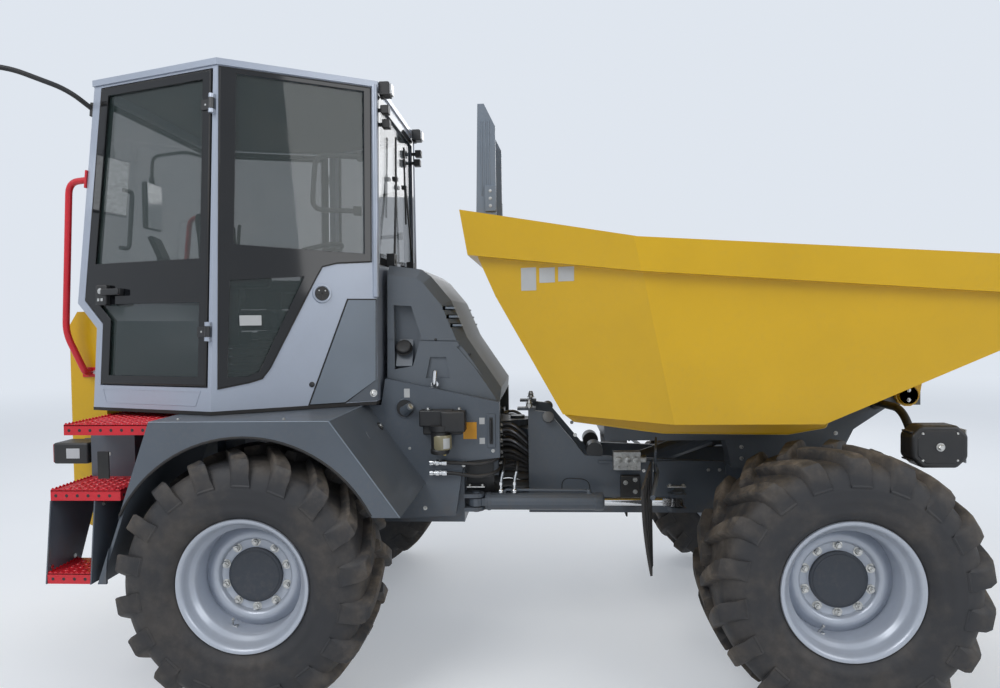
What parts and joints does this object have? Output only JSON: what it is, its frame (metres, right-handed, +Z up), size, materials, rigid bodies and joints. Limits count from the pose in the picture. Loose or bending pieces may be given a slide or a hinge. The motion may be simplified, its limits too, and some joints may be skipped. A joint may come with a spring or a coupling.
{
  "type": "site dumper",
  "caption": "Articulated site dumper with a glazed cab, swivelling seat, front-tipping skip, steering and tip cylinders and wide lugged tyres.",
  "frame": {"origin": "on the ground, at the middle of the overall length and width", "axes": "+X towards the skip, +Y to the far side, +Z up"},
  "size_m": [5.334, 2.49, 2.9973],
  "materials": {
    "chassis_paint": "semi-gloss dark blue-grey paint with dust",
    "hood_paint": "moulded dark grey cover",
    "cab_paint": "silver-grey paint",
    "black_plastic": "satin black",
    "tinted_glass": "lightly tinted safety glass",
    "yellow_paint": "gloss yellow paint",
    "red_paint": "gloss red paint",
    "cast_block": "rough casting",
    "bright_rod": "hard chrome",
    "seat_cloth": "woven cloth",
    "flap_rubber": "ribbed rubber sheet",
    "tyre_tread": "black rubber with dried mud on the lugs",
    "rim_paint": "silver paint"
  },
  "bodies": {
    "rear_frame": {"cab_frame": "cab_paint", "cab_glass": "tinted_glass", "cab_roof": "cab_paint", "engine_block": "cast_block", "engine_hood": "hood_paint", "exhaust_stub": "bright_rod", "filter_unit": "black_plastic", "grab_rails": "red_paint", "mirrors": "black_plastic", "mudguards": "chassis_paint", "rear_axle": "chassis_paint", "rear_chassis": "chassis_paint", "rear_lamps": "black_plastic", "rear_panel": "yellow_paint", "side_panels": "chassis_paint", "side_trim": "hood_paint", "step_frames": "chassis_paint", "step_treads": "red_paint", "wipers": "black_plastic", "work_lamps": "black_plastic"},
    "front_frame": {"front_chassis": "chassis_paint", "front_axle": "chassis_paint", "skip_support": "chassis_paint", "headlamps": "black_plastic", "mud_flaps": "flap_rubber", "valve_block": "cast_block"},
    "skip": {"skip_tub": "yellow_paint", "skip_guard": "black_plastic"},
    "tip_barrel": {"tip_barrel": "chassis_paint"},
    "tip_rod": {"tip_rod": "bright_rod"},
    "seat_console": {"seat": "seat_cloth", "console": "black_plastic", "steering_wheel": "black_plastic"},
    "door_near": {"door_near": "black_plastic", "door_glass_near": "tinted_glass"},
    "steer_barrel_near": {"steer_barrel_near": "chassis_paint"},
    "steer_rod_near": {"steer_rod_near": "bright_rod"},
    "wheel_rear_near": {"tyre_rear_near": "tyre_tread", "rim_rear_near": "rim_paint"},
    "wheel_front_near": {"tyre_front_near": "tyre_tread", "rim_front_near": "rim_paint"},
    "door_far": {"door_far": "black_plastic", "door_glass_far": "tinted_glass"},
    "steer_barrel_far": {"steer_barrel_far": "chassis_paint"},
    "steer_rod_far": {"steer_rod_far": "bright_rod"},
    "wheel_rear_far": {"tyre_rear_far": "tyre_tread", "rim_rear_far": "rim_paint"},
    "wheel_front_far": {"tyre_front_far": "tyre_tread", "rim_front_far": "rim_paint"}
  },
  "joints": [
    {"name": "articulation", "type": "hinge", "parent": "rear_frame", "child": "front_frame", "pos_m": [0.093, 0, 0.9], "axis": [0, 0, 1], "range_deg": [-30, 30]},
    {"name": "skip_tip", "type": "hinge", "parent": "front_frame", "child": "skip", "pos_m": [2.103, 0, 1.33], "axis": [0, 1, 0], "range_deg": [0, 50]},
    {"name": "wheel_rear_near_turn", "type": "hinge", "parent": "rear_frame", "child": "wheel_rear_near", "pos_m": [-1.077, -0.995, 0.585], "axis": [0, 1, 0], "continuous": true},
    {"name": "wheel_rear_far_turn", "type": "hinge", "parent": "rear_frame", "child": "wheel_rear_far", "pos_m": [-1.077, 0.995, 0.585], "axis": [0, 1, 0], "continuous": true},
    {"name": "wheel_front_near_turn", "type": "hinge", "parent": "front_frame", "child": "wheel_front_near", "pos_m": [1.526, -0.995, 0.585], "axis": [0, 1, 0], "continuous": true},
    {"name": "wheel_front_far_turn", "type": "hinge", "parent": "front_frame", "child": "wheel_front_far", "pos_m": [1.526, 0.995, 0.585], "axis": [0, 1, 0], "continuous": true},
    {"name": "door_near_swing", "type": "hinge", "parent": "rear_frame", "child": "door_near", "pos_m": [-1.28832, -0.97711, 2.201], "axis": [0.0231, 0.0425, 0.9988], "range_deg": [0, 105]},
    {"name": "door_far_swing", "type": "hinge", "parent": "rear_frame", "child": "door_far", "pos_m": [-1.28832, 0.97711, 2.201], "axis": [-0.0231, 0.0425, -0.9988], "range_deg": [0, 105]},
    {"name": "seat_swivel", "type": "hinge", "parent": "rear_frame", "child": "seat_console", "pos_m": [-1.307, 0, 1.369], "axis": [0, 0, 1], "range_deg": [0, 180]},
    {"name": "steer_barrel_near_swing", "type": "hinge", "parent": "rear_frame", "child": "steer_barrel_near", "pos_m": [-0.117, -0.43, 0.775], "axis": [0, 0, 1], "range_deg": [-24.8, 24.8]},
    {"name": "steer_rod_near_slide", "type": "slide", "parent": "steer_barrel_near", "child": "steer_rod_near", "axis": [1, 0, 0], "range_m": [-0.2216, 0.2216]},
    {"name": "steer_barrel_far_swing", "type": "hinge", "parent": "rear_frame", "child": "steer_barrel_far", "pos_m": [-0.117, 0.43, 0.775], "axis": [0, 0, 1], "range_deg": [-24.8, 24.8]},
    {"name": "steer_rod_far_slide", "type": "slide", "parent": "steer_barrel_far", "child": "steer_rod_far", "axis": [1, 0, 0], "range_m": [-0.2216, 0.2216]},
    {"name": "tip_barrel_swing", "type": "hinge", "parent": "front_frame", "child": "tip_barrel", "pos_m": [0.326, 0, 0.74], "axis": [0, 1, 0], "range_deg": [-14.57, 0]},
    {"name": "tip_rod_slide", "type": "slide", "parent": "tip_barrel", "child": "tip_rod", "axis": [0.9409, 0, 0.3387], "range_m": [0, 0.2823]}
  ],
  "couplings": [
    {"joint": "steer_barrel_near_swing", "follows": "articulation", "ratio": 0.82},
    {"joint": "steer_rod_near_slide", "follows": "articulation", "m_per_rad": 0.4194},
    {"joint": "steer_barrel_far_swing", "follows": "articulation", "ratio": 0.82},
    {"joint": "steer_rod_far_slide", "follows": "articulation", "m_per_rad": -0.4194},
    {"joint": "tip_barrel_swing", "follows": "skip_tip", "ratio": -0.2875},
    {"joint": "tip_rod_slide", "follows": "skip_tip", "m_per_rad": 0.3212}
  ]
}
